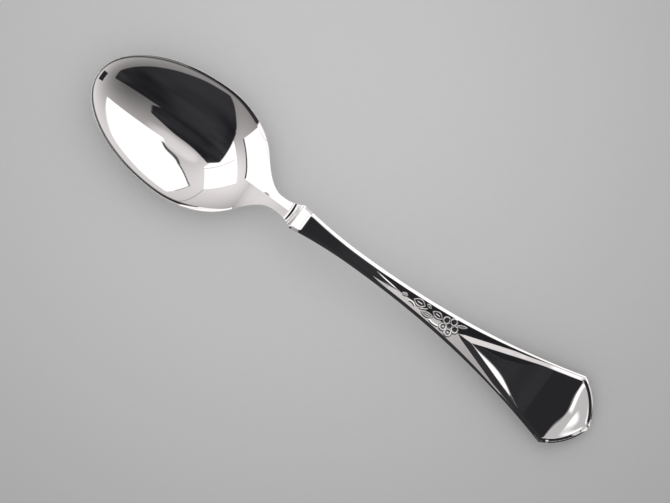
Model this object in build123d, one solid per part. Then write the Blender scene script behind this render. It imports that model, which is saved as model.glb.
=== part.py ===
from build123d import *
import os
from math import cos, exp, hypot, radians, sin, sqrt

# A soup spoon with a hollow handle. It lies along X on the table, Z = 0, with the bowl's tip at -X.
# All sizes are in millimetres.

# Bowl, neck and bolster
bowl_front = 37.0  # tip to the widest place
bowl_rear = 27.0  # widest place to the heel
bowl_width = 41.6
front_slope = 0.865  # of the bowl's wall at the rim
heel_slope = 0.945
slope_before = 7.0  # the slope changes from this far before the widest place
slope_after = 19.0  # to this far behind it
lip_depth = 0.45  # the wall is steeper close to the rim, by a lip of this depth
lip_area = 50.0  # how soon the lip is reached inside the rim, in square millimetres
lip_fade_before = 16.0  # the lip fades from this far before the heel
lip_fade_after = 2.0  # to this far behind it
wall_fullness = 0.53  # 0.5 makes each section a plain parabola, more makes its walls steeper
rim_tilt = 0.085  # fall of the rim from the tip to the heel
rim_rise_before = 3.0  # the rim climbs from this far before the heel to the shoulder
bowl_wall = 1.3  # measured upright, so the sloping rim is thinner
heel_before = 4.0  # where the outline leaves the bowl's ellipse, before the heel
heel_after = 7.0  # where it reaches the neck, behind the heel
hollow_after = 16.0  # how far the hollow runs out behind the heel
neck_hollow = 0.35  # depth of the shallow hollow in the neck's top
neck_hollow_run = 6.0  # length in which it starts
neck_hollow_fade = 3.0  # length in which it ends before the shoulder
tip_flat = 2.0  # the loft starts this angle, in degrees, behind the very tip of the ellipse
neck_length = 14.6  # heel to the shoulder
neck_narrowest = 8.4  # heel to the slimmest place
neck_width = 5.5
neck_thickness = 3.4
neck_crown = 0.9  # how far the underside is rounded
shoulder_width = 9.2
shoulder_height = 17.6  # top of the shoulder above the table
shoulder_slope = 0.55  # of the neck's top where it meets the shoulder
shoulder_thickness = 4.5

# Handle
handle_length = 116.4  # shoulder to the point of the end
waist_distance = 25.4  # shoulder to the slimmest place
waist_width = 5.5
fan_width = 26.4  # across the two corners of the end
fan_power = 2.13  # how late the handle flares behind the waist
shoulder_power = 2.2  # the same towards the shoulder
point_length = 10.7  # corners to the point
point_width = 2.0  # the point's blunt tip
end_bulge = 1.7  # how far the arcs between corners and point stand out
fan_thickness = 3.4
arch_slope = 0.05  # rise of the top behind the shoulder
arch_start = 1.4  # shoulder to where the top starts to bend down
arch_run = 22.0  # length of that bend
turn_slope = 0.15  # how much steeper the turned-down end is
turn_before = 0.8  # the end turns down from this far before the corners
turn_run = 4.0
pillow_height = 0.95  # round step behind the shoulder
pillow_length = 5.0
bevel_width = 1.1  # outer bevel of the front
bevel_end_width = 0.6  # the same beside the panel
bevel_slope = 0.58
bevel_run = 3.0  # length in which the bevels grow behind the shoulder
back_crown = 1.0  # how far the back is rounded from its middle to its sides
edge_flat = 0.2  # what is left of the bevels at the shoulder

# Relief of the front
tongue_start = 30.8  # shoulder to the tips of the two grooves, where the flat top becomes a tongue
tongue_length = 9.6  # from there to the tip of the tongue
tongue_width = 2.2  # between the tips of the grooves
groove_run = 6.0  # length in which a groove widens to the bevel
valley_slope = 0.19  # of the sides of the grooves and of the valley that they become
valley_flat = 0.9  # least width of the valley's floor
split_start = 63.9  # shoulder to where the two ribs rise out of the valley
split_run = 3.5  # length in which they reach full width
rib_start = 69.1  # shoulder to where the ribs part
rib_spread = 0.33  # how fast they part
rib_slope_width = 2.0  # outer slope of a rib
rib_end_width = 1.4  # the same at the corners
panel_rise = 0.06  # how much steeper the ribs' slopes are at the corners
flank_width = 1.9  # slope from a rib down to the sunken panel, at its widest
flank_slope = 0.29
flank_grow = 11.0  # length in which the flank grows behind the ribs' start
flank_fade = 12.0  # length in which it runs out
flank_end = 12.0  # from where it has run out to the corners
border_flank = 1.0  # flank inside the border of the turned-down end
crest_least = 0.25  # half the least width of a crest
ridge_least = 0.7  # least place of a ridge near the point, as a share of the half width
rib_least = 0.4  # the same of a rib
flank_most = 0.6  # a flank takes at most this share of the way to the middle
groove_most = 0.75  # a groove lies at most this share of the way from its rib to the ridge

# Inside
shell_wall = 0.7
cavity_margin = 12.0  # from the corners of the end to the end of the cavity
seam_offset = 0.4  # the cavity is widest this far below the seam
seam_overrun = 1.0  # how far the cut along the seam reaches past the handle
tang_length = 46.0
tang_width = 2.8
tang_height = 1.5
tang_tip_width = 1.6

# Places along X that follow from the sizes
total_length = bowl_front + bowl_rear + neck_length + handle_length
tip_x = -total_length / 2
widest_x = tip_x + bowl_front
heel_x = widest_x + bowl_rear
neck_x = heel_x + neck_narrowest
shoulder_x = heel_x + neck_length
waist_x = shoulder_x + waist_distance
point_x = shoulder_x + handle_length
corner_x = point_x - point_length


def ease(start, end, x):
    """Smooth step from 0 at start to 1 at end."""
    t = min(max((x - start) / (end - start), 0.0), 1.0)
    return t * t * (3 - 2 * t)


def blend(start, end, x):
    """Cubic curve between two points, each given as (x, value, slope)."""
    length = end[0] - start[0]
    t = (x - start[0]) / length
    values = (2 * t**3 - 3 * t**2 + 1) * start[1] + (3 * t**2 - 2 * t**3) * end[1]
    slopes = (t**3 - 2 * t**2 + t) * start[2] + (t**3 - t**2) * end[2]
    return values + slopes * length


def spaced(start, end, count):
    """Evenly spaced places from start to end."""
    return [start + (end - start) * i / count for i in range(count + 1)]


def ellipse_half_width(x):
    """Half width of the bowl, which is two half ellipses of unlike length."""
    along = bowl_front if x < widest_x else bowl_rear
    return bowl_width / 2 * sqrt(1 - ((x - widest_x) / along) ** 2)


def forging_half_width(x):
    """Half width of bowl, neck and bolster."""
    leave_x = heel_x - heel_before
    reach_x = heel_x + heel_after
    if x <= leave_x:
        return ellipse_half_width(x)
    if x >= reach_x:
        flare = max((x - neck_x) / (shoulder_x - neck_x), 0.0)
        return neck_width / 2 + (shoulder_width - neck_width) / 2 * flare**2
    leave_half = ellipse_half_width(leave_x)
    leave_slope = -((bowl_width / 2 / bowl_rear) ** 2) * (leave_x - widest_x) / leave_half
    return blend((leave_x, leave_half, leave_slope), (reach_x, neck_width / 2, 0), x)


def hollow_depth(x):
    """Depth of the bowl's middle below its rim. The wall has nearly the same slope all round."""
    half = bowl_width / 2
    along = bowl_front if x < widest_x else bowl_rear
    share = min((x - widest_x) / along, 1.0)
    size = half * hypot(sqrt(1 - share**2), half / along * share)
    slope = ease(widest_x - slope_before, widest_x + slope_after, x)
    slope = front_slope + (heel_slope - front_slope) * slope
    area = forging_half_width(x) ** 2
    lip = lip_depth * (1 - ease(heel_x - lip_fade_before, heel_x + lip_fade_after, x))
    fade = 1 - ease(heel_x - heel_before, heel_x + hollow_after, x)
    dip = ease(neck_x - neck_hollow_run, neck_x, x) - ease(shoulder_x - neck_hollow_fade, shoulder_x, x)
    return slope / (2 * size) * fade * area + lip * (1 - exp(-area / lip_area)) + neck_hollow * dip


def forging_thickness(x):
    """Upright thickness: the sheet of the bowl, then the neck, then the bolster."""
    neck = bowl_wall + (neck_thickness - bowl_wall) * ease(widest_x, neck_x, x)
    flare = max((x - neck_x) / (shoulder_x - neck_x), 0.0) ** 2
    return neck + (shoulder_thickness - neck_thickness) * flare


def rim_fall(x):
    """How far the straight rim lies below its height at the widest place."""
    return rim_tilt * (x - widest_x)


def rim_height():
    """Height of the rim at the widest place, so that the bowl's lowest place rests on the table."""
    places = spaced(widest_x - bowl_front / 2, heel_x - heel_before, 80)
    return max(hollow_depth(x) + forging_thickness(x) + rim_fall(x) for x in places)


def rim_line(x):
    """Height of the rim: a straight line falling from the tip, then a curve up the neck."""
    rise_x = heel_x - rim_rise_before
    if x < rise_x:
        return rim_height() - rim_fall(x)
    start = (rise_x, rim_height() - rim_fall(rise_x), -rim_tilt)
    return blend(start, (shoulder_x, shoulder_height, shoulder_slope), x)


def forging_section(x):
    """Section across X: two curves, hollow above and rounded below, with upright sides."""
    half = forging_half_width(x)
    crown = neck_crown * ease(heel_x, neck_x, x) * (1 - ease(neck_x, shoulder_x, x))
    hollow = hollow_depth(x)
    floor = rim_line(x) - hollow
    back = floor - forging_thickness(x)
    edges = []
    for level, rise, side in ((floor, hollow, 1), (back, hollow + crown, -1)):
        left = (x, -side * half, level + rise)
        right = (x, side * half, level + rise)
        pull = side * half * wall_fullness
        edges.append(Edge.make_bezier(left, (x, -pull, level), (x, 0, level)))
        edges.append(Edge.make_bezier((x, 0, level), (x, pull, level), right))
    edges.append(Edge.make_line(edges[1] @ 1, edges[2] @ 0))
    edges.append(Edge.make_line(edges[3] @ 1, edges[0] @ 0))
    return Wire(edges)


def bend(start, length, x):
    """Growth of a line whose slope goes smoothly from 0 to 1 along the given length."""
    t = min(max((x - start) / length, 0.0), 1.0)
    return length * (t**3 - t**4 / 2) + max(x - start - length, 0.0)


def arch(x):
    """Top line of the handle: a crest, a fall that rests the point on the table, a turned-down end."""
    crest_x = shoulder_x + arch_start
    turn_x = corner_x - turn_before
    start = shoulder_height + pillow_height
    rest = start + arch_slope * handle_length - turn_slope * bend(turn_x, turn_run, point_x) - fan_thickness
    fall = rest / bend(crest_x, arch_run, point_x)
    line = start + arch_slope * (x - shoulder_x) - fall * bend(crest_x, arch_run, x)
    return line - turn_slope * bend(turn_x, turn_run, x)


def thickness(x):
    """Thickness of the handle from the back to the top line."""
    start = shoulder_thickness + pillow_height
    return start + (fan_thickness - start) * ease(shoulder_x, corner_x, x)


def end_half_width(x):
    """Half width of the shield end, an arc from each corner to the blunt point."""
    length = point_length
    drop = (fan_width - point_width) / 2
    chord = hypot(length, drop)
    radius = (chord**2 / 4 + end_bulge**2) / (2 * end_bulge)
    inward = (radius - end_bulge) / chord
    centre_x = corner_x + length / 2 - drop * inward
    centre_y = (fan_width + point_width) / 4 - length * inward
    return centre_y + sqrt(radius**2 - (x - centre_x) ** 2)


def half_width(x):
    """Half the handle's width: a slim waist that flares both ways, then the shield end."""
    waist = waist_width / 2
    if x < waist_x:
        return waist + (shoulder_width / 2 - waist) * ((waist_x - x) / waist_distance) ** shoulder_power
    if x <= corner_x:
        return waist + (fan_width / 2 - waist) * ((x - waist_x) / (corner_x - waist_x)) ** fan_power
    return end_half_width(x)


def edge_stretch(x):
    """How much wider an inset from the shield end's edge is when it is measured along Y."""
    step = 0.01
    if x < corner_x + step:
        return 1.0
    return hypot(1, (half_width(x + step) - half_width(x - step)) / (2 * step))


def grown_bevel(x):
    """Share of the full bevel: none at the shoulder, all of it behind the bevel run."""
    return ease(shoulder_x, shoulder_x + bevel_run, x)


def front_top(x):
    """Height of the front's ridges: the arch, stepped down round the shoulder."""
    step = pillow_height * (1 - min((x - shoulder_x) / pillow_length, 1.0)) ** 2
    return arch(x) - step


def bevel(x):
    """Width of the outer bevel, which grows behind the shoulder and is slimmer beside the panel."""
    start = shoulder_x + split_start
    slim = bevel_width + (bevel_end_width - bevel_width) * ease(start, corner_x - flank_end, x)
    return edge_flat + (slim - edge_flat) * grown_bevel(x)


def ridge_line(x):
    """Y of the ridge between the outer bevel and what lies inside it."""
    return max(half_width(x) - bevel(x) * edge_stretch(x), ridge_least * half_width(x))


def rib_line(x):
    """Y of a rib's crest: in the middle until the ribs part, then outwards, then along the border."""
    border = ease(corner_x - turn_run, corner_x + turn_run / 2, x)
    edge = half_width(x) - (bevel(x) + rib_end_width * (1 - border)) * edge_stretch(x)
    edge = max(min(edge, ridge_line(x) - crest_least), rib_least * half_width(x))
    return min(max(rib_spread * (x - shoulder_x - rib_start), crest_least), edge)


def tongue_line(x):
    """Y of the groove beside the flat top, which narrows to a tongue."""
    share = min(max((x - shoulder_x - tongue_start) / tongue_length, 0.0), 1.0)
    return tongue_width / 2 + (valley_flat - tongue_width) / 2 * share


def groove_line(x):
    """Y of the groove's bottom, beside the tongue and then beside the ribs."""
    start = shoulder_x + split_start
    if x < start:
        return tongue_line(x)
    slope = rib_slope_width + (rib_end_width - rib_slope_width) * ease(start, corner_x, x)
    wide = rib_line(x) + slope * min((x - start) / split_run, 1.0)
    limit = rib_line(x) + groove_most * (ridge_line(x) - rib_line(x))
    return min(max(wide, valley_flat / 2), limit)


def handle_lines(x):
    """Y and Z of the lines that run along the front half, from the side to the middle."""
    top = front_top(x)
    ridge, groove, rib = ridge_line(x), groove_line(x), rib_line(x)
    tongue_x = shoulder_x + tongue_start
    depth = valley_slope * (ridge - groove) * min(max((x - tongue_x) / groove_run, 0.0), 1.0)
    tongue_end = tongue_x + tongue_length
    sunk = depth * ease(tongue_end - groove_run / 2, tongue_end, x)
    split_x = shoulder_x + split_start
    raised = ease(split_x - split_run, split_x + split_run, x)
    steep = valley_slope + panel_rise * ease(split_x, corner_x, x)
    crest = top - sunk + steep * (groove - rib) * raised
    flank_x = shoulder_x + rib_start
    fade_x = corner_x - flank_end
    grown = ease(flank_x, flank_x + flank_grow, x) * (1 - ease(fade_x - flank_fade, fade_x, x))
    border = border_flank * edge_stretch(x) * ease(corner_x - turn_before, corner_x + turn_run, x)
    flank = min(max(flank_width * grown + border, crest_least / 2), flank_most * rib)
    return [
        (half_width(x), top - bevel_slope * bevel(x)),
        (ridge, top),
        (groove, top - depth),
        (rib, crest),
        (rib - flank, crest - flank_slope * flank),
    ]


def back_lines(x):
    """Y and Z of the lines along the rounded back, from near the middle to the side."""
    bottom = arch(x) - thickness(x)
    crown = edge_flat + (back_crown - edge_flat) * grown_bevel(x)
    return [(share * half_width(x), bottom + crown * share**3) for share in (0.4, 0.8, 1.0)]


def seam_height(x):
    """The two shells meet half way up the side."""
    return (back_lines(x)[-1][1] + handle_lines(x)[0][1]) / 2


def ring(x, lines):
    """Closed section across X through the given lines and their mirror images."""
    points = [(x, y, z) for y, z in lines]
    points += [(x, -y, z) for y, z in reversed(lines)]
    return Wire.make_polygon([Vector(*p) for p in points], close=True)


def handle_body():
    """Both shells as one: a loft to the corners and a second one from there to the point."""
    pillow_end = shoulder_x + pillow_length
    shaft = spaced(shoulder_x, pillow_end, 3) + spaced(pillow_end, corner_x, 22)[1:]
    end = [corner_x + point_length * sin(radians(angle)) for angle in spaced(0, 90, 8)]
    lofts = []
    for places in (shaft, end):
        lofts.append(Solid.make_loft([ring(x, back_lines(x) + handle_lines(x)) for x in places]))
    return lofts[0] + lofts[1]


def cavity():
    """The hollow of the handle, one wall thickness inside the shells."""
    rings = []
    for x in spaced(shoulder_x, corner_x - cavity_margin, 10):
        back_y, back_z = back_lines(x)[1]
        ceiling = min(z for y, z in handle_lines(x)[1:])
        lines = [
            (back_y - shell_wall, back_z + shell_wall),
            (half_width(x) - shell_wall, seam_height(x) - seam_offset),
            (ridge_line(x) - shell_wall, ceiling - shell_wall),
        ]
        rings.append(ring(x, lines))
    return Solid.make_loft(rings)


def above_seam():
    """Everything above the seam between the two shells, drawn longer than the handle."""
    places = spaced(shoulder_x, point_x, 12)
    start = (shoulder_x - seam_overrun, 0, seam_height(shoulder_x))
    end = (point_x + seam_overrun, 0, seam_height(point_x))
    line = Spline([start] + [(x, 0, seam_height(x)) for x in places] + [end])
    high = 2 * (shoulder_height + pillow_height)
    rest = Polyline(end, (end[0], 0, high), (start[0], 0, high), start)
    face = make_face(line.edges() + rest.edges())
    return extrude(face, amount=fan_width, both=True)


def tang():
    """Tapered bar inside the handle, along the middle of the cavity."""
    rings = []
    for x in spaced(shoulder_x, shoulder_x + tang_length, 5):
        share = (x - shoulder_x) / tang_length
        half = (tang_width + (tang_tip_width - tang_width) * share) / 2
        middle = seam_height(x)
        rings.append(ring(x, [(half, middle - tang_height / 2), (half, middle + tang_height / 2)]))
    return Solid.make_loft(rings)


def bowl_forging():
    """Bowl, neck and bolster: two lofts that meet at the widest place, with the tang behind them."""
    front = [widest_x - bowl_front * cos(radians(angle)) for angle in spaced(tip_flat, 90, 8)]
    rear = spaced(widest_x, shoulder_x, 16)
    lofts = []
    for places in (front, rear):
        lofts.append(Solid.make_loft([forging_section(x) for x in places]))
    return lofts[0] + lofts[1] + tang()


bowl = bowl_forging()
body = handle_body()
hollow = cavity()
upper = above_seam()
handle_front = body & upper
handle_front -= hollow
handle_back = body - upper
handle_back -= hollow
handle_core = hollow - tang()

os.makedirs("parts", exist_ok=True)
for name, piece in (
    ("bowl", bowl),
    ("handle_front", handle_front),
    ("handle_back", handle_back),
    ("handle_core", handle_core),
):
    export_step(piece, f"parts/{name}.step")
    print(name, "solids", len(piece.solids()), "volume", round(piece.volume, 1))
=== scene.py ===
# %% [markdown]
# # A silver soup spoon
# The spoon is one forged bowl with a neck and a hidden tang, and a hollow handle made of two struck
# shells with cement inside. This lesson rebuilds its shine: every surface is a formula on a grid of
# numbers, and the finish is a shader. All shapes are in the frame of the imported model, in metres.

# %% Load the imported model
import math

import bmesh
import bpy
import numpy as np
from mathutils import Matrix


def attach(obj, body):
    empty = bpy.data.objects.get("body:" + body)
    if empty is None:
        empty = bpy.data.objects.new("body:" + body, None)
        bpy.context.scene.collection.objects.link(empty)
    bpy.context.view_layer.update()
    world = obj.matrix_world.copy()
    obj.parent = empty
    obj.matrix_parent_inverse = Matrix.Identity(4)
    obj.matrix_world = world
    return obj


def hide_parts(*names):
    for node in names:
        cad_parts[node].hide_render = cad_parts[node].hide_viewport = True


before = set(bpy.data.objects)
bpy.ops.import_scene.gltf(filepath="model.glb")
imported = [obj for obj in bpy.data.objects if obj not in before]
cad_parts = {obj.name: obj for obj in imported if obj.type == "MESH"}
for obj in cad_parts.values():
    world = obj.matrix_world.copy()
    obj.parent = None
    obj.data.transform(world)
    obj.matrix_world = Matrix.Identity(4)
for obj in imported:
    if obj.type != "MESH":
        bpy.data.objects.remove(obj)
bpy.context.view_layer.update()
print("packed nodes:", sorted(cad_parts))

# %% [markdown]
# ## The camera
# The spoon is seen from straight above, turned 36 degrees in the picture. A long lens keeps the
# perspective small. One could aim the camera with a constraint, but a turn about the upright axis is
# all that this view needs, and it can be read off directly.

# %% Camera
MM = 0.001
PICTURE_TURN = math.radians(36)
CAMERA_HEIGHT = 1000 * MM
PICTURE_WIDTH = 215.6 * MM  # what the picture's width covers at the height of the rim
RIM_LEVEL = 9 * MM
PICTURE_CENTRE = (-2.4 * MM, -1.9 * MM)

camera_data = bpy.data.cameras.new("camera")
camera_data.sensor_width = 36
camera_data.lens = 36 * (CAMERA_HEIGHT - RIM_LEVEL) / PICTURE_WIDTH
camera = bpy.data.objects.new("camera", camera_data)
camera.location = (*PICTURE_CENTRE, CAMERA_HEIGHT)
camera.rotation_euler = (0, 0, PICTURE_TURN)
bpy.context.scene.collection.objects.link(camera)
bpy.context.scene.camera = camera
bpy.context.scene.view_settings.view_transform = "Standard"
print("lens", round(camera_data.lens, 1), "mm")

# %% [markdown]
# ## Curves that every piece uses
# The spoon is drawn with a few smooth curves along its length. Lengths are in millimetres and are
# counted from the tip of the bowl, because that is how one would measure the real spoon.

# %% Smooth curves
TIP_X = -97.5
WIDEST = 37.0
HEEL = 64.0
NECK = 72.4
SHOULDER = 78.6


def ease(start, end, along):
    """Smooth step: 3t^2 - 2t^3 between start and end, flat outside."""
    t = np.clip((along - start) / (end - start), 0, 1)
    return t * t * (3 - 2 * t)


def soft_ease(start, end, along):
    """Smoother step, 10t^3 - 15t^4 + 6t^5, whose bend also starts and ends at nothing."""
    t = np.clip((along - start) / (end - start), 0, 1)
    return t**3 * (10 - 15 * t + 6 * t * t)


def blend(start, end, along):
    """Cubic between two points given as (place, value, slope)."""
    length = end[0] - start[0]
    t = (along - start[0]) / length
    values = (2 * t**3 - 3 * t**2 + 1) * start[1] + (3 * t**2 - 2 * t**3) * end[1]
    slopes = (t**3 - 2 * t**2 + t) * start[2] + (t**3 - t**2) * end[2]
    return values + slopes * length


def bend(start, length, along):
    """Line whose slope goes smoothly from 0 to 1: length (t^3 - t^4 / 2), then straight on."""
    t = np.clip((along - start) / length, 0, 1)
    return length * (t**3 - t**4 / 2) + np.maximum(along - start - length, 0)


print("spoon length", 2 * -TIP_X, "mm")

# %% [markdown]
# ## From a grid to a mesh
# A grid of points becomes a mesh by joining each point with its neighbours. Doing this with whole
# arrays is quick, and the same helper serves every piece. Points that fall together, such as the
# pole of the bowl, are merged afterwards, so that the surface is closed there.

# %% Mesh helper
MERGE = 1e-8  # metres


def build_piece(name, grids, marks=None):
    """One mesh from grids of points. A grid is (points, wrap, caps): points is rows x columns x 3 in
    millimetres, wrap closes the columns to a ring, caps lists rows that are closed by one flat face.
    marks is a number per point of the first grid, kept as an attribute for the shader."""
    vertices, faces, offset = [], [], 0
    for points, wrap, caps in grids:
        rows, columns = points.shape[:2]
        index = offset + np.arange(rows * columns).reshape(rows, columns)
        right = np.roll(index, -1, axis=1)
        last = columns if wrap else columns - 1
        corners = [index[:-1, :last], index[1:, :last], right[1:, :last], right[:-1, :last]]
        faces += np.stack(corners, -1).reshape(-1, 4).tolist()
        for row in caps:
            ring = index[row].tolist()
            faces.append(ring if row == 0 else ring[::-1])
        vertices.append(points.reshape(-1, 3))
        offset += rows * columns
    mesh = bpy.data.meshes.new(name)
    mesh.from_pydata((np.concatenate(vertices) * MM).tolist(), [], faces)
    if marks is not None:
        values = np.zeros(offset, np.float32)
        values[: marks.size] = marks.ravel()
        mesh.attributes.new("marks", "FLOAT", "POINT").data.foreach_set("value", values)
    work = bmesh.new()
    work.from_mesh(mesh)
    bmesh.ops.remove_doubles(work, verts=work.verts, dist=MERGE)
    bmesh.ops.dissolve_degenerate(work, edges=work.edges, dist=MERGE / 10)
    bmesh.ops.recalc_face_normals(work, faces=work.faces)
    work.to_mesh(mesh)
    work.free()
    mesh.polygons.foreach_set("use_smooth", np.ones(len(mesh.polygons), bool))
    piece = bpy.data.objects.new(name, mesh)
    bpy.context.scene.collection.objects.link(piece)
    return piece


def report(piece):
    """Prints the size of a piece and whether its surface is closed."""
    work = bmesh.new()
    work.from_mesh(piece.data)
    open_edges = sum(1 for edge in work.edges if len(edge.link_faces) != 2)
    triangles = sum(len(face.verts) - 2 for face in work.faces)
    work.free()
    size = [round(length / MM, 1) for length in piece.dimensions]
    print(piece.name, size, "mm,", triangles, "triangles,", open_edges, "open edges")


print("points closer than", MERGE / MM, "mm become one")

# %% [markdown]
# ## The bowl
# The bowl, the neck and the bolster are one forging. Seen from above, the bowl is two half ellipses
# that share their widest place, and the neck joins on with a soft curve. A lathe can't give this
# egg-shaped outline, and a sculpted ball would not keep it true, so half width and rim height are
# written as formulas of the place along the spoon.

# %% Outline and rim of the bowl
BOWL_HALF = 20.8
RIM_HEIGHT = 11.6  # at the widest place
RIM_TILT = 0.085  # the tip is turned up a little
RIM_RISE = 61.0  # from here the rim climbs to the shoulder
SHOULDER_HEIGHT = 17.58
NECK_HALF = 2.75
SHOULDER_HALF = 4.6


def ellipse_share(along):
    """Coefficient of the outline ellipse, changing softly from the long front to the short rear."""
    front, rear = 1 / WIDEST**2, 1 / (HEEL - WIDEST) ** 2
    return front + (rear - front) * soft_ease(WIDEST - 12, WIDEST + 12, along)


def forging_half(along):
    """Half width: ellipse, then a cubic into the neck, then a parabola out to the shoulder."""
    leave, reach = HEEL - 4, HEEL + 7
    ellipse = BOWL_HALF * np.sqrt(np.clip(1 - ellipse_share(along) * (along - WIDEST) ** 2, 0, 1))
    rear = HEEL - WIDEST
    leave_half = BOWL_HALF * math.sqrt(1 - ((leave - WIDEST) / rear) ** 2)
    leave_slope = -((BOWL_HALF / rear) ** 2) * (leave - WIDEST) / leave_half
    joint = blend((leave, leave_half, leave_slope), (reach, NECK_HALF, 0), along)
    flare = np.maximum((along - NECK) / (SHOULDER - NECK), 0) ** 2
    neck = NECK_HALF + (SHOULDER_HALF - NECK_HALF) * flare
    return np.where(along <= leave, ellipse, np.where(along < reach, joint, neck))


def raw_rim(along):
    """A straight line that falls from the tip, then a cubic up the neck."""
    line = RIM_HEIGHT - RIM_TILT * (along - WIDEST)
    start = (RIM_RISE, RIM_HEIGHT - RIM_TILT * (RIM_RISE - WIDEST), -RIM_TILT)
    return np.where(along < RIM_RISE, line, blend(start, (SHOULDER, SHOULDER_HEIGHT, 0.55), along))


def rim_line(along):
    """Height of the rim: the average of five close places, which takes the kink out of the joint."""
    room = 1 - ease(NECK, SHOULDER, along)
    places = ((-3, 1), (-1.5, 4), (0, 6), (1.5, 4), (3, 1))
    return sum(weight * raw_rim(along + shift * room) for shift, weight in places) / 16


places = np.array([0, WIDEST, HEEL, SHOULDER])
print("rim at tip, widest place, heel and shoulder:", np.round(rim_line(places), 2).tolist(), "mm")

# %% [markdown]
# The hollow is a parabola across, whose wall gets steeper just under the rim, and the sheet grows
# thicker towards the neck. A soft groove sets the neck off from the shoulder. A cage of a few faces
# could be subdivided into this shape, but a mirror shows every ripple of such a cage, so height is a
# formula of length and width too.

# %% Hollow of the bowl
WALL_SLOPE = 0.865  # steepness of the wall at the rim
LIP_DEPTH = 0.45
NECK_DIP = 0.22
COLLAR = 77.1  # place of the groove between neck and shoulder
COLLAR_DEPTH = 0.85
COLLAR_WIDTH = 0.85
SHEET = 1.3


def hollow_top(along, across):
    """Height of the inside: rim minus a parabola across, minus a lip that makes the wall steeper
    close to the rim, minus a shallow hollow in the neck."""
    share = np.minimum(ellipse_share(along) * (along - WIDEST) ** 2, 1)
    reach = BOWL_HALF * np.sqrt(1 - share + BOWL_HALF**2 * ellipse_share(along) * share)
    slope = WALL_SLOPE + 0.08 * soft_ease(30, 56, along)
    fade = 1 - soft_ease(HEEL - 6, HEEL + 18, along)
    half = forging_half(along)
    inside = np.maximum(half**2 - across**2, 0)
    lip = LIP_DEPTH * (1 - soft_ease(46, 68, along)) * (1 - np.exp(-inside / 50))
    dip = NECK_DIP * (soft_ease(58, 74, along) - soft_ease(75, SHOULDER, along))
    dip = dip * inside / (half**2 + 0.01)
    return rim_line(along) - slope / (2 * reach) * fade * inside - lip - dip


def collar_groove(along, across):
    """Depth of the groove that sets the neck off from the shoulder: a soft, slightly bowed line that
    is deepest in the middle."""
    depth = COLLAR_DEPTH * (1 - 0.4 * (across / forging_half(along)) ** 2) * ease(71, 74, along)
    return depth * np.exp(-(((along - COLLAR + 0.03 * across**2) / COLLAR_WIDTH) ** 2))


def forging_thickness(along):
    """Upright thickness: sheet of the bowl, then the neck, then the bolster."""
    flare = np.maximum((along - NECK) / (SHOULDER - NECK), 0) ** 2
    return SHEET + 2.1 * ease(WIDEST, NECK, along) + 1.1 * flare


stations = np.linspace(20, 60, 400)
lowest = float(hollow_top(stations, 0 * stations).min())
print("floor of the hollow", round(lowest, 2), "mm above the table")

# %% [markdown]
# The grid of the bowl runs round the outline in one direction, and from the middle over the rim to
# the underside in the other. Lines fan out from one pole at the front, so that they cross the rim
# squarely at the tip, and lie straight across behind it. The rim itself is a small half round.

# %% Bowl surface
RIM_ROUND = 0.3


def bowl_grid():
    """Rows follow the outline from one shoulder round the tip to the other. Columns run from the
    middle of the hollow to the rim, round it, and back under the bowl."""
    front = WIDEST - (WIDEST - 0.025) * np.cos(np.radians(np.linspace(0, 90, 121)))
    half_line = np.concatenate([front, np.linspace(WIDEST, SHOULDER, 181)[1:]])
    side = forging_half(half_line)
    along = np.concatenate([half_line[:0:-1], half_line])
    across = np.concatenate([-side[:0:-1], side])
    middle = np.maximum(along, WIDEST)
    reach = np.hypot(along - middle, across)
    edge = np.minimum(RIM_ROUND / reach, 0.3)
    share = 1 - (1 - np.linspace(0, 1, 57)) ** 1.5
    inner = share[None, :] * (1 - edge[:, None])
    x = middle[:, None] + (along - middle)[:, None] * inner
    y = across[:, None] * inner
    top = hollow_top(x, y) - collar_groove(x, y)
    crown = 0.9 * ease(HEEL, NECK, x) * (1 - ease(NECK, SHOULDER, x))
    under = hollow_top(x, y) - forging_thickness(x) + crown * (y / forging_half(x)) ** 2
    turn = np.radians(np.linspace(0, 180, 13))[1:-1]
    bulge = 1 - edge[:, None] * (1 - np.sin(turn))
    rim_x = middle[:, None] + (along - middle)[:, None] * bulge
    rim_y = across[:, None] * bulge
    mid = (top[:, -1:] + under[:, -1:]) / 2
    rim_z = mid + (top[:, -1:] - under[:, -1:]) / 2 * np.cos(turn)
    x = np.concatenate([x, rim_x, x[:, ::-1]], 1) + TIP_X
    y = np.concatenate([y, rim_y, y[:, ::-1]], 1)
    return np.stack([x, y, np.concatenate([top, rim_z, under[:, ::-1]], 1)], -1)


bowl_points = bowl_grid()
lowest = float(bowl_points[..., 2].min())
print("bowl grid", bowl_points.shape[:2], "lowest place", round(lowest, 3), "mm")

# %% [markdown]
# ## The line of the handle
# The handle is slimmest a quarter of the way along, and flares to a shield with two corners and a
# blunt point. A drawn Bezier outline would do for a flat piece, but here the lines of the relief are
# measured from the edge, so the outline is a formula that can be asked for any place.

# %% Handle outline
WAIST = 104.0
CORNER = 184.3
POINT = 195.0
WAIST_HALF = 2.75
FAN_HALF = 13.2
POINT_HALF = 1.0
ARC_BULGE = 1.7  # how far the arc from corner to point stands out of its chord


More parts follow.
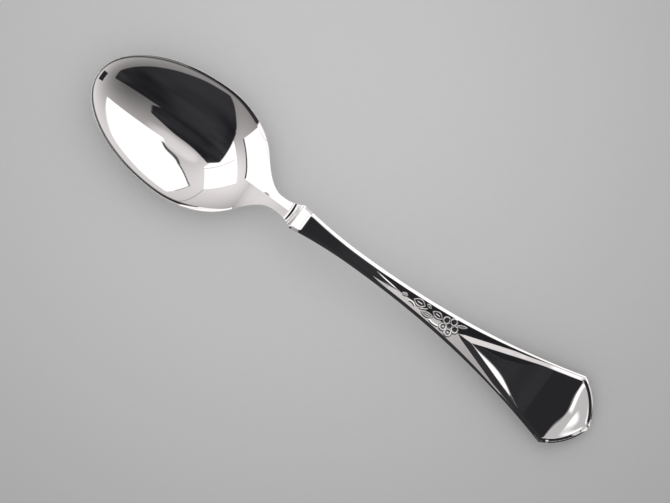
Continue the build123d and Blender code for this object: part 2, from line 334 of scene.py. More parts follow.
def handle_half(along):
    """Half width: two power curves that meet at the waist, then an arc from corner to point."""
    to_shoulder = np.clip((WAIST - along) / (WAIST - SHOULDER), 0, 1)
    to_corner = np.clip((along - WAIST) / (CORNER - WAIST), 0, 1)
    rear = WAIST_HALF + (SHOULDER_HALF - WAIST_HALF) * to_shoulder**2.2
    fan = WAIST_HALF + (FAN_HALF - WAIST_HALF) * to_corner**2.13
    length, drop = POINT - CORNER, FAN_HALF - POINT_HALF
    chord = math.hypot(length, drop)
    radius = (chord**2 / 4 + ARC_BULGE**2) / (2 * ARC_BULGE)
    inward = (radius - ARC_BULGE) / chord
    centre = (CORNER + length / 2 - drop * inward, (FAN_HALF + POINT_HALF) / 2 - length * inward)
    arc = centre[1] + np.sqrt(np.maximum(radius**2 - (along - centre[0]) ** 2, 0))
    return np.where(along < WAIST, rear, np.where(along <= CORNER, fan, arc))


def edge_stretch(along):
    """How much wider an inset from the shield's slanting edge is when measured straight across."""
    step = 0.01
    slope = (handle_half(along + step) - handle_half(along - step)) / (2 * step)
    return np.where(along > CORNER + 2 * step, np.hypot(1, slope), 1)


places = np.array([SHOULDER, WAIST, CORNER, POINT])
halves = np.round(handle_half(places), 2).tolist()
print("half width at shoulder, waist, corner and point:", halves, "mm")

# %% [markdown]
# Seen from the side, the handle leaves the shoulder with a small round step. Its top line is arched
# behind the shoulder, falls straight, and is turned down at the end. The two struck shells meet half
# way up the side. A lattice could bend a straight handle like this, but it would bend the facets
# too, so the heights are formulas as well.

# %% Handle heights
PILLOW = 0.95
FAN_THICKNESS = 3.4
END_TOP = 3.41
BEVEL_SLOPE = 0.58
ARCH_BEND = (80, 22)  # where a bend of the top line starts, and how long it is
END_BEND = (183.5, 4)


def arch(along):
    """Top line of the handle: a rise, bent down to a straight fall that ends at the height of the
    point, and bent down once more behind the corners."""
    start, rise, turn = SHOULDER_HEIGHT + PILLOW, 0.05, 0.15
    fall = start + rise * (POINT - SHOULDER) - turn * bend(*END_BEND, POINT) - END_TOP
    fall = fall / bend(*ARCH_BEND, POINT)
    straight = start + rise * (along - SHOULDER)
    return straight - fall * bend(*ARCH_BEND, along) - turn * bend(*END_BEND, along)


def back_height(along):
    """Height of the back's middle: the top line less the thickness."""
    start = 4.5 + PILLOW
    return arch(along) - (start + (FAN_THICKNESS - start) * ease(SHOULDER, CORNER, along))


def grown_bevel(along):
    """Share of the full bevel, which grows behind the shoulder."""
    return ease(SHOULDER - 1, SHOULDER + 1, along)


def bevel_width(along):
    """Width of the bevel along the edge, slimmer beside the shield."""
    return 0.2 + (0.9 - 0.5 * ease(140, 172, along)) * grown_bevel(along)


def side_heights(along):
    """Heights of the side's lower and upper edge."""
    low = back_height(along) + 0.2 + 0.8 * grown_bevel(along)
    step = PILLOW * (1 - np.minimum((along - SHOULDER) / 5, 1)) ** 2
    return low, arch(along) - step - BEVEL_SLOPE * bevel_width(along)


def seam_height(along):
    """The shells meet half way up the side."""
    low, high = side_heights(along)
    return (low + high) / 2


stations = np.linspace(SHOULDER, POINT, 500)
print("back's lowest place", round(float(back_height(stations).min()), 3), "mm above the table")

# %% [markdown]
# ## The struck front
# The flat top of the handle narrows to a tongue between two grooves, which become one shallow
# valley. Out of the valley rise two ribs that part and run to the corners, with a sunken shield
# between them, and a bevel follows the whole edge. Modelling this face by face would fix every
# width for good, so the lines where two facets meet are drawn first, as half widths.

# %% Lines of the front
TONGUE = 109.4  # the tongue starts to narrow
TONGUE_HALF = 1.1
VALLEY = 131  # the tongue has gone
VALLEY_HALF = 0.08
SPLIT = 142.5  # the grooves part
RIB_START = 147.7
RIB_SLOPE = 0.3305
RIB_BORDER = 1.4  # from the bevel to a rib that runs along it
GROOVE_REACH = 2  # from a rib to its groove


def ridge_line(along):
    """Where the outer bevel meets what lies inside it."""
    half = handle_half(along)
    return np.maximum(half - bevel_width(along) * edge_stretch(along), 0.6 * half)


def rib_line(along):
    """Crest of a rib: in the middle at first, then straight outwards, then along the border."""
    half, border = handle_half(along), RIB_BORDER * (1 - ease(183.5, 187, along))
    edge = np.maximum(half - (bevel_width(along) + border) * edge_stretch(along), 0.3 * half)
    outermost = np.minimum(edge, ridge_line(along) - 0.06)
    return np.clip(RIB_SLOPE * (along - RIB_START), 0.04, outermost)


def groove_line(along):
    """Bottom of the groove: beside the tongue, then in the middle, then beside the rib, where it
    runs out into the ridge before the corner."""
    rib, ridge = rib_line(along), ridge_line(along)
    tongue = TONGUE_HALF * (1 - np.clip((along - TONGUE) / 9.6, 0, 1))
    parting = np.minimum(0.476 * (along - SPLIT), RIB_SLOPE * (along - RIB_START) + GROOVE_REACH)
    beside = np.where(along < 150, parting, rib + GROOVE_REACH - 0.6 * ease(160, 180, along))
    share = 0.75 + 0.2 * ease(165, 177, along)
    beside = np.clip(beside, VALLEY_HALF, rib + share * (ridge - rib))
    return np.where(along < VALLEY, np.maximum(tongue, VALLEY_HALF), beside)


place = np.array([165.0])
lines = [float(line(place)[0]) for line in (ridge_line, groove_line, rib_line)]
print("ridge, groove and rib at 165 mm:", np.round(lines, 2).tolist(), "mm from the middle")

# %% [markdown]
# Each cross section is a row of straight facets between these lines, so it is given by its corners
# alone. Both sides of a groove have the same slope, as if one tool had cut them. Only the inner
# flank of a rib, down to the shield, is steeper.

# %% Sections of the front
FACET_SLOPE = 0.205
TONGUE_SIDE = 0.28
FLANK_WIDTH = 1.9  # inner side of a rib, down to the shield
FLANK_SLOPE = 0.29
BEAD_HEIGHT = 0.3  # of the border round the turned-down end
LEVEL_START = 178.0  # from here the shield keeps its depth below the bevel


def front_levels(along):
    """Widths and heights inside the bevel, counted from the ridge: the kink where a groove's outer
    side starts, the groove's bottom, the crest of the tongue or rib."""
    ridge, groove = ridge_line(along), groove_line(along)
    crest = np.where(along < VALLEY, np.maximum(groove - TONGUE_SIDE, 0.04), rib_line(along))
    kink = TONGUE_HALF + (ridge - TONGUE_HALF) * np.clip((along - TONGUE) / 6, 0, 1)
    depth = FACET_SLOPE * (kink - groove) * (along > TONGUE)
    tongue = depth * np.clip((groove - crest) / TONGUE_SIDE, 0, 1) * (1 - ease(118, 120, along))
    rise = tongue - depth + FACET_SLOPE * (groove - crest) * (along > VALLEY)
    return kink, depth, crest, rise


def front_corners(along):
    """Corners of half a cross section, from the seam over the bevel and the groove's two sides to
    the rib and the foot of the sunken shield. Rows are places along the handle."""
    half, ridge, groove = handle_half(along), ridge_line(along), groove_line(along)
    low, high = side_heights(along)
    kink, depth, crest, rise = front_levels(along)
    rise = np.where(along < LEVEL_START, rise, front_levels(np.full(1, LEVEL_START))[3])
    outer = np.minimum(np.maximum(kink, groove + 0.05), ridge - 0.3 * (ridge - groove))
    border = ease(183.8, 187, along)
    lift = (rise + BEAD_HEIGHT) * border
    top = high + BEVEL_SLOPE * bevel_width(along) + lift
    flank = FLANK_WIDTH * ease(146.5, 161, along) * (1 - ease(161.5, 173, along))
    foot = np.maximum(crest - np.maximum(flank + border * edge_stretch(along), 0.15), 0.4 * crest)
    flat = 1 - border
    corners = [(half, (low + high) / 2), (half, high + lift), (ridge, top)]
    corners += [(outer, top - FACET_SLOPE * np.maximum(kink - outer, 0) * (depth > 0) * flat)]
    corners += [(groove, top - depth * flat), (crest, top - lift + rise + (lift - rise) * border)]
    corners += [(foot, top - lift + rise - FLANK_SLOPE * flank)]
    return np.stack([np.stack(corner, -1) for corner in corners], 1)


print("section corners at 165 mm:", np.round(front_corners(place)[0], 2).tolist())

# %% [markdown]
# Every corner gets a small round, as a polished die leaves it. Without it the edges would not catch
# the light. A Bevel modifier would do this as well, but it can't keep the long, thin facets apart
# where they run out, so the rounds are part of the section.

# %% Rounded sections
def norm(steps):
    """Length of each step."""
    return np.linalg.norm(steps, axis=-1, keepdims=True)


def rounded(corners, radius, pieces):
    """Straight lines between the corners, each cut in its own number of pieces, with a small curve
    at each corner: (1-t)^2 A + 2t(1-t) B + t^2 C. Works on all rows at once."""
    t = np.linspace(0, 1, 5)[None, :, None]
    line = [corners[:, :1]]
    for middle in range(1, corners.shape[1]):
        here = corners[:, middle : middle + 1]
        back = corners[:, middle - 1 : middle] - here
        start = here
        if middle < corners.shape[1] - 1:
            ahead = corners[:, middle + 1 : middle + 2] - here
            start = here + back * np.minimum(radius / (norm(back) + 1e-9), 0.45)
            stop = here + ahead * np.minimum(radius / (norm(ahead) + 1e-9), 0.45)
        share = np.linspace(0, 1, pieces[middle - 1] + 1)[None, 1:-1, None]
        line.append(line[-1][:, -1:] + (start - line[-1][:, -1:]) * share)
        if middle < corners.shape[1] - 1:
            line.append((1 - t) ** 2 * start + 2 * t * (1 - t) * here + t**2 * stop)
        else:
            line.append(start)
    return np.concatenate(line, 1)


def mirrored(corners):
    """The other half of a section, so that it runs from one seam to the other."""
    return np.concatenate([corners * [-1, 1], corners[:, ::-1]], 1)


section = rounded(mirrored(front_corners(place)), 0.2, [4] * 13)
print("rounded section:", section.shape[1], "points")

# %% [markdown]
# ## The flower spray
# A small spray of leaves and one flower is struck into the front where the stem begins. It could be
# a bump in the shader, but then it would vanish from the mesh, so it is a height that is added to
# the front's own points. Every petal and leaf is a raised rim round a shallow middle, and the lines
# beside a rim, where old polish gathers, are kept as marks for the finish.

# %% Petal, leaf and stalk
def soft_line(distance, width):
    """A soft line: exp(-(distance / width)^2)."""
    return np.exp(-((distance / width) ** 2))


def petal(along, across, centre, radius):
    """Round petal: a raised rim, a bead in the middle, and dark rings on both sides of the rim."""
    distance = np.hypot(along - centre[0], across - centre[1])
    raised = np.maximum(soft_line(distance - 0.85 * radius, 0.15), 0.5 * soft_line(distance, 0.2))
    outside, inside = distance - 1.12 * radius, distance - 0.46 * radius
    return raised, np.maximum(soft_line(outside, 0.14), soft_line(inside, 0.22))


def leaf(along, across, centre, size, turn):
    """Almond leaf: its edge is where (a / length)^2 + |b| / width = 1. A raised rim lies inside it,
    a raised vein in the middle, and dark lines outside and between."""
    c, s = math.cos(math.radians(turn)), math.sin(math.radians(turn))
    a = ((along - centre[0]) * c + (across - centre[1]) * s) / size[0]
    b = np.abs((across - centre[1]) * c - (along - centre[0]) * s) / size[1]
    edge, wide = a * a + b, 0.15 / size[1]
    vein = soft_line(b, wide) * (1 - ease(0.25, 0.6, np.abs(a)))
    dark = np.maximum(soft_line(edge - 0.45, wide), soft_line(edge - 0.88 - 1.9 * wide, wide))
    return np.maximum(soft_line(edge - 0.88, wide), vein), dark


def stalk(along, across, start, end, bow):
    """Thin stalk between two places, bowed sideways by a parabola, dark along its lower side."""
    t = (along - start[0]) / (end[0] - start[0])
    line = start[1] + (end[1] - start[1]) * t + 4 * bow * t * (1 - t)
    inside = ease(-0.08, 0.02, t) * (1 - ease(0.98, 1.08, t))
    raised = 0.8 * soft_line(across - line, 0.17) * inside
    return raised, soft_line(across - line + 0.3, 0.15) * inside


row = np.linspace(-2, 2, 9)
print("height across a petal:", np.round(petal(row, 0, (0, 0), 1.25)[0], 2).tolist())

# %% [markdown]
# The spray lies loosely along the stem: a flower of five round petals at one end, larger and
# smaller leaves on both sides, and three short stalks. A place can belong to one shape only, so the
# strongest of all shapes counts there.

# %% Whole spray
FLOWER = (138.85, 0.15)  # place along, place across
EYE_RADIUS = 1.2
PETALS = 5
PETAL_RADIUS = 1.25
PETAL_REACH = 2.05
FIRST_PETAL = 74  # degrees
LEAVES = (  # centre, half length and half width, turn in degrees
    ((126.7, 0.77), (2.2, 1.25), 2),
    ((133.85, 0.9), (2.0, 1.1), -5),
    ((130.8, -0.95), (1.95, 0.75), 10),
    ((121.25, 0.3), (0.95, 0.42), 8),
    ((129.95, 1.7), (0.9, 0.4), -16),
    ((142.4, 2.4), (1.6, 0.42), 24),
)
STALKS = (  # start, end, bow
    ((127.6, -0.55), (129.9, 0.6), -0.2),
    ((123.5, -0.6), (125.7, -0.95), 0.3),
    ((132.4, -1.9), (135.6, -2.0), -0.25),
)


def spray_relief(along, across):
    """Height of the whole spray, 0 to 1, and its dark lines: the strongest of all shapes."""
    parts = [petal(along, across, FLOWER, EYE_RADIUS)]
    for angle in np.radians(FIRST_PETAL + 360 / PETALS * np.arange(PETALS)):
        reach = (PETAL_REACH * math.cos(angle), PETAL_REACH * math.sin(angle))
        centre = (FLOWER[0] + reach[0], FLOWER[1] + reach[1])
        parts.append(petal(along, across, centre, PETAL_RADIUS))
    parts += [leaf(along, across, *shape) for shape in LEAVES]
    parts += [stalk(along, across, *shape) for shape in STALKS]
    raised, dark = np.max(parts, axis=0)
    return raised, dark * (1 - raised)


raised, dark = spray_relief(*np.meshgrid(np.linspace(118, 147, 200), np.linspace(-4, 4, 60)))
print("spray covers", round(100 * float((raised > 0.4).mean())), "% of its field")

# %% [markdown]
# ## The two shells
# Each shell is a closed ring of points carried along the handle: the outside, a flat joint at the
# seam, and the inner wall of the hollow. A Solidify modifier would give a wall too, but one that
# copies the grooves to the inside. The front has close rows where the spray is, because its rims
# are only a third of a millimetre wide.

# %% Rows and hollow
WALL = 0.7


def handle_rows():
    """Places along the handle: close at the shoulder, closer still at the spray, and by the sine of
    an angle towards the point, where the outline turns."""
    parts = [np.linspace(SHOULDER, 86, 50), np.linspace(86, 109, 24), np.linspace(109, 118.5, 45)]
    parts += [np.linspace(118.5, 148, 285), np.linspace(148, 183, 70), np.linspace(183, CORNER, 9)]
    parts += [CORNER + (POINT - CORNER) * np.sin(np.radians(np.linspace(0, 90, 52)))]
    return np.unique(np.concatenate(parts))


def cavity_corners(along, up):
    """Inner wall of a shell, one wall thickness inside, from one seam to the other. It closes flat
    on the seam where the hollow ends, short of the shield's corners."""
    end = CORNER - 12
    half, seam = handle_half(along), seam_height(along)
    room = 1 - ease(end - 2, end, along)
    corners = front_corners(along)
    ceiling = corners[:, 2:, 1].min(1) - WALL if up else back_height(along) + WALL
    ceiling = np.maximum(ceiling, seam + 0.1) if up else np.minimum(ceiling, seam - 0.1)
    inner = half - WALL - 0.4 * half * (1 - room)
    narrow = np.minimum(ridge_line(along) - WALL, 0.8 * inner)
    level = seam + (ceiling - seam) * room
    half_ring = np.stack([np.stack([inner, seam], -1), np.stack([narrow, level], -1)], 1)
    return np.concatenate([half_ring, (half_ring * [-1, 1])[:, ::-1]], 1)


def shell_grid(along, outside, up):
    """Closed ring per row: the outside from seam to seam, then the inner wall back."""
    ring = np.concatenate([outside, cavity_corners(along, up)], 1)
    x = np.repeat(along[:, None] + TIP_X, ring.shape[1], 1)
    return np.concatenate([x[..., None], ring], -1)


rows = handle_rows()
print(len(rows), "rows, closest", round(float(np.diff(rows).min()), 4), "mm apart")

# %% [markdown]
# The front's outside is its rounded section, with the spray added to the height and a slight crown
# on the turned-down end, which makes the light roll over it. The back is plain. A tiny chamfer on
# both makes the joint between them visible, as a soldered and filed seam is.

# %% Outsides of the shells
RELIEF_HEIGHT = 0.17
SEAM_CHAMFER = 0.07
FRONT_ROUND = 0.22
BACK_ROUND = 0.3
FRONT_PIECES = [2, 3, 4, 8, 22, 4, 4]  # how many pieces each facet is cut in, from seam to shield
SHIELD_PIECES = [20]


def front_outside(along):
    """Outside of the front with the spray added to its height, and the spray's marks for the finish:
    up to 1 on raised rims, down to -1 on dark lines."""
    half = front_corners(along)
    seam = half[:, :1] + [-SEAM_CHAMFER, 0]
    half[:, 0, 1] += SEAM_CHAMFER
    pieces = FRONT_PIECES + SHIELD_PIECES + FRONT_PIECES[::-1]
    line = rounded(mirrored(np.concatenate([seam, half], 1)), FRONT_ROUND, pieces)
    raised, dark = spray_relief(along[:, None], line[..., 0])
    inside = 1 - ease(-0.25, 0.0, np.abs(line[..., 0]) - ridge_line(along)[:, None])
    inside = inside * ease(118.5, 120, along)[:, None]
    line[..., 1] += RELIEF_HEIGHT * raised * inside
    share = np.minimum(np.abs(line[..., 0]) / half[:, -1, :1], 1)
    crown = 0.28 * ease(184.5, 189, along) - 0.006 * np.maximum(along - 186, 0) ** 2
    line[..., 1] += crown[:, None] * (1 - share**2) ** 2
    return line, (raised - dark) * inside


def back_outside(along):
    """Outside of the back: height grows with the cube of the distance from the middle."""
    half, (low, high) = handle_half(along), side_heights(along)
    share = np.linspace(1, 0, 9)[None, :]
    floor = back_height(along)[:, None]
    curve = np.stack([half[:, None] * share, floor + (low[:, None] - floor) * share**3], -1)
    seam = np.stack([half, (low + high) / 2 - SEAM_CHAMFER], -1)[:, None]
    edge = np.stack([half - SEAM_CHAMFER, (low + high) / 2], -1)[:, None]
    corners = np.concatenate([edge, seam, curve], 1)
    corners = np.concatenate([corners, (corners * [-1, 1])[:, -2::-1]], 1)
    return rounded(corners, BACK_ROUND, [4] * (corners.shape[1] - 1))


front_line, spray = front_outside(rows)
print("front section", front_line.shape[1], "points, marks up to", round(float(spray.max()), 2))

# %% [markdown]
# Now the two shells become meshes. The rings are closed by one flat face at the shoulder and one at
# the point. The inner wall has four points a row and carries no marks.

# %% Shell pieces
front_points = shell_grid(rows, front_line, True)
front_marks = np.concatenate([spray, np.zeros((len(rows), 4))], 1)
front_grid = (front_points, True, [0, len(rows) - 1])
handle_front = build_piece("handle_front_silver", [front_grid], front_marks)
report(handle_front)
back_rows = np.unique(np.concatenate([np.linspace(SHOULDER, CORNER, 150), rows[rows > CORNER]]))
back_points = shell_grid(back_rows, back_outside(back_rows), False)
back_grid = (back_points, True, [0, len(back_rows) - 1])
handle_back = build_piece("handle_back_silver", [back_grid])
report(handle_back)

# %% [markdown]
# The bowl is made after the handle's curves, because its tang lies along the handle's seam. A flat
# face closes the bolster where the handle meets it.

# %% Bowl piece
TANG_LENGTH = 46


def tang_grid():
    """Rows along the tang, columns round its four edges: a bar that tapers into the handle."""
    along = np.linspace(SHOULDER - 1, SHOULDER + TANG_LENGTH, 12)
    half = 1.4 - 0.6 * (along - SHOULDER) / TANG_LENGTH
    middle = seam_height(along)
    corners = [(1, 1), (-1, 1), (-1, -1), (1, -1)]
    points = [(along + TIP_X, half * side, middle + 0.75 * up) for side, up in corners]
    return np.stack([np.stack(point, -1) for point in points], 1)


end_face = np.stack([bowl_points[0], bowl_points[-1]])
tang = tang_grid()
grids = [(bowl_points, False, []), (end_face, False, []), (tang, True, [0, len(tang) - 1])]
bowl = build_piece("bowl_silver", grids)
report(bowl)

# %% [markdown]
# ## Writing shader maths as sums
# Shaders are networks of nodes, and a network of sums is hard to read. This small class wraps one
# output socket, so that ordinary Python sums add the Math nodes, and any other node comes from one
# method.

# %% Shader values
class Shade:
    """A shader output that can be used in sums."""

    def __init__(self, tree, socket):
        self.tree = tree
        self.socket = socket

    def node(self, kind, settings=None, sockets=None, output=0):
        """Adds a node: its settings first, then numbers or links for its sockets."""
        made = self.tree.nodes.new(kind)
        for name, value in (settings or {}).items():
            setattr(made, name, value)
        for name, value in (sockets or {}).items():
            if isinstance(value, Shade):
                self.tree.links.new(value.socket, made.inputs[name])
            else:
                made.inputs[name].default_value = value
        return Shade(self.tree, made.outputs[output])

    def sum(self, operation, first, second):
        """A Math node with two values."""
        return self.node("ShaderNodeMath", {"operation": operation}, {0: first, 1: second})

    def __add__(self, other):
        return self.sum("ADD", self, other)

    def __sub__(self, other):
        return self.sum("SUBTRACT", self, other)

    def __rsub__(self, other):
        return self.sum("SUBTRACT", other, self)

    def __mul__(self, other):
        return self.sum("MULTIPLY", self, other)

    def __pow__(self, other):
        return self.sum("POWER", self, other)

    __radd__ = __add__
    __rmul__ = __mul__

    def between(self, start, end):
        """0 below start, 1 above end, smooth between."""
        settings = {"interpolation_type": "SMOOTHSTEP"}
        return self.node("ShaderNodeMapRange", settings, {0: self, 1: start, 2: end})

    def mix(self, first, second):
        """Colour between two colours, by this value."""
        sockets = {0: self, 6: first, 7: second}
        return self.node("ShaderNodeMix", {"data_type": "RGBA"}, sockets, 2)

    def dot(self, direction):
        """Dot product of this vector with a fixed one."""
        sockets = {0: self, 1: direction}
        return self.node("ShaderNodeVectorMath", {"operation": "DOT_PRODUCT"}, sockets, 1)


def material(name):
    """New material: returns it, its Object coordinates as a Shade, and its surface shader."""
    made = bpy.data.materials.new(name)
    made.use_nodes = True
    tree = made.node_tree
    coordinates = tree.nodes.new("ShaderNodeTexCoord")
    return made, Shade(tree, coordinates.outputs["Object"]), tree.nodes["Principled BSDF"]


def connect(value, shader, name):
    """Links a value to a socket of the surface shader."""
    value.tree.links.new(value.socket, shader.inputs[name])


print("shader helper ready")

# %% [markdown]
# ## Polished silver
# Silver is a nearly white mirror with a breath of warmth. What makes it look used rather than
# computed is small: wiping marks that soften the mirror in places, hair-fine scratches along the
# handle, and a darker film in the corners of the spray, where no cloth reaches.

# %% Silver
def polished_silver(name, has_spray):
    """Mirror metal: colour from a slow noise, roughness from wiping marks, scratches as bump."""
    made, place, shader = material(name)
    slow = place.node("ShaderNodeTexNoise", {}, {"Vector": place, "Scale": 45.0, "Detail": 3.0})
    fine = place.node("ShaderNodeMapping", {}, {"Vector": place, "Scale": (60.0, 2600.0, 2600.0)})
    hair = place.node("ShaderNodeTexNoise", {}, {"Vector": fine, "Scale": 1.0, "Detail": 4.0})
    wiped = slow.between(0.45, 0.8)
    colour = slow.mix((0.955, 0.94, 0.935, 1), (0.925, 0.91, 0.905, 1))
    roughness = 0.025 + 0.04 * wiped
    if has_spray:
        marks = place.node("ShaderNodeAttribute", {"attribute_name": "marks"}, {}, 2)
        film = (0 - marks).between(0.1, 0.6)
        colour = (film * 0.85).mix(colour, (0.06, 0.055, 0.055, 1))
        roughness = roughness + 0.3 * film + 0.3 * marks.between(0.4, 0.8)
    connect(colour, shader, "Base Color")
    connect(roughness, shader, "Roughness")
    shader.inputs["Metallic"].default_value = 1
    bump = place.node("ShaderNodeBump", {}, {"Strength": 0.02, "Distance": 0.00002, "Height": hair})
    connect(bump, shader, "Normal")
    return made


bowl.data.materials.append(polished_silver("bowl_silver", False))
handle_front.data.materials.append(polished_silver("front_silver", True))
handle_back.data.materials.append(polished_silver("back_silver", False))
print("silver on", [piece.name for piece in (bowl, handle_front, handle_back)])

# %% [markdown]
# ## Cement
# The filling that holds the tang can't be seen, but it is there in the model, so it gets the chalky,
# speckled look that such a filling has.

# %% Cement
cement, place, shader = material("setting_cement")
grains = place.node("ShaderNodeTexNoise", {}, {"Vector": place, "Scale": 900.0, "Detail": 6.0})
connect(grains.mix((0.30, 0.26, 0.22, 1), (0.55, 0.50, 0.44, 1)), shader, "Base Color")
connect(0.8 + 0.15 * grains, shader, "Roughness")
lumps = place.node("ShaderNodeBump", {}, {"Strength": 0.4, "Distance": 0.0002, "Height": grains})
connect(lumps, shader, "Normal")
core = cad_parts["handle_core"]
core.data.materials.clear()
core.data.materials.append(cement)
print("cement on", core.name)

# %% [markdown]
# ## The light tent
# A mirror shows its surroundings, so a silver spoon is mostly a picture of the room it is in. Such
# things are photographed in a tent: pale cloth walls, a few white light panels, and one dark open
# side where the camera stands. Here the tent is painted on the world, and only what the metal
# reflects sees it; the floor gets plain even light. A panel is a patch of sky whose straight edges
# are given by its corners: the compass angle in the picture and the tilt from straight up.

# %% Tent
def aim(compass, tilt):
    """Unit vector for a compass angle in the picture and a tilt from straight up, in degrees."""
    turn, lean = math.radians(compass) + PICTURE_TURN, math.radians(tilt)
    side = math.sin(lean)
    return np.array([math.cos(turn) * side, math.sin(turn) * side, math.cos(lean)])


def plane_through(first, second):
    """Normal of the plane through the spoon and two directions. It cuts the sky in a line."""
    normal = np.cross(aim(*first), aim(*second))
    return normal / np.linalg.norm(normal)


def patch(direction, corners, softness=0.006):
    """Mask of a patch with straight edges: each edge is the plane through the spoon and two corners,
    and the patch lies on the side of it where the middle of all corners is. A corner's third number,
    if it has one, is how soft the edge is that starts there."""
    mask = None
    middle = np.sum([aim(*corner[:2]) for corner in corners], 0)
    for first, second in zip(corners, corners[1:] + corners[:1]):
        soft = first[2] if len(first) > 2 else softness
        normal = plane_through(first[:2], second[:2])
        side = direction.dot(tuple(normal * np.sign(normal @ middle)))
        inside = side.between(-soft, soft)
        mask = inside if mask is None else mask * inside
    return mask


def frame_line(direction, first, second, width):
    """Mask of a thin straight line between two directions: the frame of a panel."""
    normal = plane_through(first, second)
    side = direction.dot(tuple(normal))
    line = 1 - (side * side).between((0.3 * width) ** 2, (0.7 * width) ** 2)
    after = direction.dot(tuple(np.cross(normal, aim(*first)))).between(-0.02, 0.02)
    before = direction.dot(tuple(np.cross(aim(*second), normal))).between(-0.02, 0.02)
    return line * after * before


print("half way up, to the right of the picture:", np.round(aim(0, 45), 2).tolist())

# %% [markdown]
# The cloth is not evenly bright: it falls off towards the dark side and near the floor. A sum of
# products of the three directions gives such a slow change. Then come the panels, a fold of cloth
# that hangs over one of them, and their dark frames.

# %% Tent cloth and panels
PANEL_WHITE = (1.15, 1.15, 1.15, 1)

world = bpy.data.worlds.new("tent")
bpy.context.scene.world = world
world.use_nodes = True
tree = world.node_tree
direction = Shade(tree, tree.nodes.new("ShaderNodeTexCoord").outputs["Generated"])
x, y, z = (direction.dot(tuple(axis)) for axis in (aim(0, 90), aim(90, 90), aim(0, 0)))
level = 0.40 + 0.30 * x + 0.09 * z + 0.12 * x * x + 0.70 * y * z - 0.73 * x * z
glow = direction.dot(tuple(aim(25, 23.5))).between(0.978, 1.0)
cloth = (level + 0.24 * glow).mix((0, 0, 0, 1), (1.02, 0.985, 0.985, 1))
right_panel = [(23, 26.5, 0.004), (64.3, 58.2, 0.004), (55, 78, 0.02), (28, 75, 0.03)]
right_panel += [(8, 65, 0.02), (352.8, 58.4)]
right_fold = [(23, 26.5), (42.8, 41.4), (64.3, 58.2), (65.8, 47.6), (48.8, 28)]
back_panel = [(213, 43), (127, 54.7), (78.4, 57.3), (71, 24)]
left_panel = [(206, 57.6), (143.5, 58.5), (143.5, 95), (208, 95)]
frames = [  # start, end, width, grey
    ((206, 56.8), (144.5, 57.8), 0.03, 0.04),
    ((28.5, 30.5), (42.8, 41.4), 0.02, 0.06),
    ((42.8, 41.4), (64.3, 58.4), 0.02, 0.06),
    ((64.3, 58.2), (58, 71), 0.012, 0.3),
    ((78.4, 57.3), (66, 86), 0.014, 0.35),
    ((170, 36), (70.5, 27.5), 0.014, 0.6),
    ((127, 54.7), (78.4, 57.3), 0.012, 0.62),
]
tent = cloth
for panel in (right_panel, back_panel, left_panel):
    tent = patch(direction, panel).mix(tent, PANEL_WHITE)
tent = patch(direction, right_fold, 0.004).mix(tent, cloth)
for first, second, width, grey in frames:
    tent = frame_line(direction, first, second, width).mix(tent, (grey, grey, grey, 1))
print("tent: 3 panels,", len(frames), "frame lines")

# %% [markdown]
# The open side is hung with dark cloth, whose folds are a slow noise, stretched one way. It is two
# patches, one overhead and one lower down, because a patch has no inward corners. A dark strip goes
# round the whole tent close to the table, where its walls stand. That strip draws the thin dark
# line along the rim of the bowl. All this is for mirror rays only: plain light falls on the floor.

# %% Dark side of the tent
opening = [(217, 53), (305, 26), (331, 23.2), (30, 12.3), (78, 17), (135, 17.5)]
low_opening = [(219, 56), (217, 51), (215, 20), (293, 25)]
low_opening += [(314, 57), (297, 64), (270, 69), (235, 81)]
drape = direction.node("ShaderNodeMapping", {}, {"Vector": direction, "Scale": (2.0, 4.0, 2.0)})
drape = direction.node("ShaderNodeTexNoise", {}, {"Vector": drape, "Scale": 1.0, "Detail": 1.0})
dark_cloth = drape.between(0.3, 0.75).mix((0.013, 0.013, 0.015, 1), (0.036, 0.036, 0.039, 1))
tent = (1 - z.between(0.03, 0.1)).mix(tent, (0.06, 0.06, 0.065, 1))
for gap in (opening, low_opening):
    tent = patch(direction, gap, 0.012).mix(tent, dark_cloth)
path = tree.nodes.new("ShaderNodeLightPath")
glossy = Shade(tree, path.outputs["Is Glossy Ray"])
seen = Shade(tree, path.outputs["Is Camera Ray"])
plain = seen.mix((0.62, 0.62, 0.62, 1), (0.75, 0.75, 0.75, 1))
tree.links.new(glossy.mix(plain, tent).socket, tree.nodes["Background"].inputs["Color"])
print("dark side:", len(opening), "and", len(low_opening), "corners")

# %% [markdown]
# ## Floor and lamp
# The spoon lies on pale grey card that carries a painted pool of light in its colour: the card is
# palest in the middle and darker away from it, as light falls off under a tent. More light in the
# middle would do that too, but it would also change the metal, so this fall-off of light is painted
# into the card's colour. One large soft lamp towards the top of the picture gives the shadow its
# direction, and the even light of the world keeps the shadow open. The lamp is hidden from mirror
# rays, because the tent's panels already stand for it there.

# %% Studio floor
# Middle and reach of the painted pool of light: the card's colour is palest there and darkest at
# this reach.
PAINTED_POOL_CENTRE = (-0.012, 0.052)  # metres to the right and up in the picture
PAINTED_POOL_REACH = 0.26

bpy.ops.mesh.primitive_plane_add(size=6)
floor = bpy.context.object
floor.name = "floor"
card, place, shader = material("grey_card")
tooth = place.node("ShaderNodeTexNoise", {}, {"Vector": place, "Scale": 300.0, "Detail": 5.0})
right = place.dot(tuple(aim(0, 90))) - PAINTED_POOL_CENTRE[0]
up = place.dot(tuple(aim(90, 90))) - PAINTED_POOL_CENTRE[1]
# Painted light: the card's colour falls from the pale middle to darker grey, standing in for light
# that falls off away from the middle.
painted_light_falloff = ((right * right + up * up) ** 0.5).between(0, PAINTED_POOL_REACH)
pale = tooth.mix((0.7, 0.7, 0.702, 1), (0.724, 0.724, 0.724, 1))
connect(painted_light_falloff.mix(pale, (0.43, 0.43, 0.43, 1)), shader, "Base Color")
shader.inputs["Roughness"].default_value = 0.9
shader.inputs["Specular IOR Level"].default_value = 0.1
floor.data.materials.append(card)
print("card is palest at", PAINTED_POOL_CENTRE, "m")

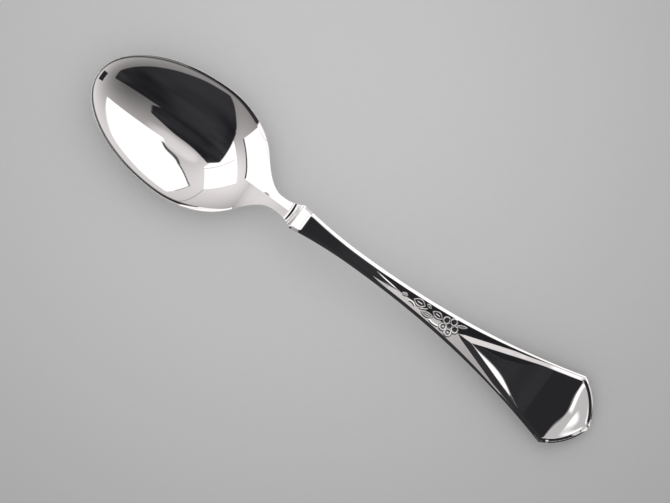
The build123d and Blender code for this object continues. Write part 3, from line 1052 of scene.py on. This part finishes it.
# %% Soft lamp
lamp_data = bpy.data.lights.new("soft_lamp", "AREA")
lamp_data.size = 1.4
lamp_data.energy = 3
lamp = bpy.data.objects.new("soft_lamp", lamp_data)
lamp.location = tuple(aim(80, 12) * 1.1)
lamp.rotation_mode = "QUATERNION"
lamp.rotation_quaternion = (-lamp.location).to_track_quat("-Z", "Y")
lamp.visible_glossy = False
bpy.context.scene.collection.objects.link(lamp)
print("lamp at", [round(value, 2) for value in lamp.location], "m")

# %% [markdown]
# ## Card and flags
# The turned-down end looks away from the tent's panels, so it gets its own small card, as is usual
# in a studio: pale, with one soft bright patch and a bright upper edge. Two small dark flags go with
# it. One stands between card and bowl, so that the bowl doesn't show the card, only a dark speck at
# its tip. The other draws a dark line on the lower edge of the end. All three are seen by mirror
# rays only.

# %% Cards for mirror rays
def paper(name):
    """Material that shines by itself: returns it, Object coordinates and its Emission node."""
    made = bpy.data.materials.new(name)
    made.use_nodes = True
    tree = made.node_tree
    tree.nodes.remove(tree.nodes["Principled BSDF"])
    place = Shade(tree, tree.nodes.new("ShaderNodeTexCoord").outputs["Object"])
    emission = tree.nodes.new("ShaderNodeEmission")
    tree.links.new(emission.outputs[0], tree.nodes["Material Output"].inputs["Surface"])
    return made, place, emission


def mirror_card(name, corners, location, turn, colour):
    """Flat card from its four corners in millimetres, hidden from all but mirror rays."""
    mesh = bpy.data.meshes.new(name)
    mesh.from_pydata((np.array(corners) * MM).tolist(), [], [(0, 1, 2, 3)])
    mesh.materials.append(colour)
    card = bpy.data.objects.new(name, mesh)
    card.location = tuple(np.array(location) * MM)
    card.rotation_euler = turn
    card.visible_camera = False
    card.visible_diffuse = False
    card.visible_shadow = False
    bpy.context.scene.collection.objects.link(card)
    print(name, "at", [round(value / MM) for value in card.location], "mm")


print("card helpers ready")

# %% End card
END_LEAN = math.radians(38)
CARD_DISTANCE = 90

pale_paper, place, emission = paper("end_card")
along = place.dot((1 / MM, 0, 0))
across = place.dot((0, 1 / MM, 0))
bright_patch = (along * along) * (1 / 6**2) + (across + 2.5) * (across + 2.5) * (1 / 10**2)
shine = 1 - bright_patch.between(0.1, 1.5)
edge = (1 - along.between(-22, -15)) * across.between(0, 4) * (1 - across.between(12, 16))
tone = (0.4 + 0.54 * shine + 0.46 * edge).mix((0, 0, 0, 1), (1.3, 1.3, 1.3, 1))
connect(tone, emission, "Color")
card_corners = [(-30, -35, 0), (30, -35, 0), (30, 35, 0), (-30, 35, 0)]
away = (97 + math.sin(END_LEAN) * CARD_DISTANCE, 0, 4.5 + math.cos(END_LEAN) * CARD_DISTANCE)
mirror_card("end_card", card_corners, away, (0, END_LEAN, 0), pale_paper)

# %% Dark flags
FLAGS = (  # name, half width, lower and upper edge, place in plan, turn in degrees
    ("flag", 29, 44, 84, (104, 0), 0),
    ("low_flag", 14, 1, 22, (127, -24), -28),
)

dark_paper, place, emission = paper("flag")
emission.inputs["Color"].default_value = (0.02, 0.02, 0.022, 1)
for name, wide, low, high, (x, y), turn in FLAGS:
    upright = [(0, -wide, low), (0, wide, low), (0, wide, high), (0, -wide, high)]
    mirror_card(name, upright, (x, y, 0), (0, 0, math.radians(turn)), dark_paper)

# %% [markdown]
# ## Pieces in place of the nodes
# Each new piece rides on the spoon's one body and stands for its node, which is hidden.

# %% Finish
for piece, node in ((bowl, "bowl"), (handle_front, "handle_front"), (handle_back, "handle_back")):
    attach(piece, "root")
    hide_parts(node)
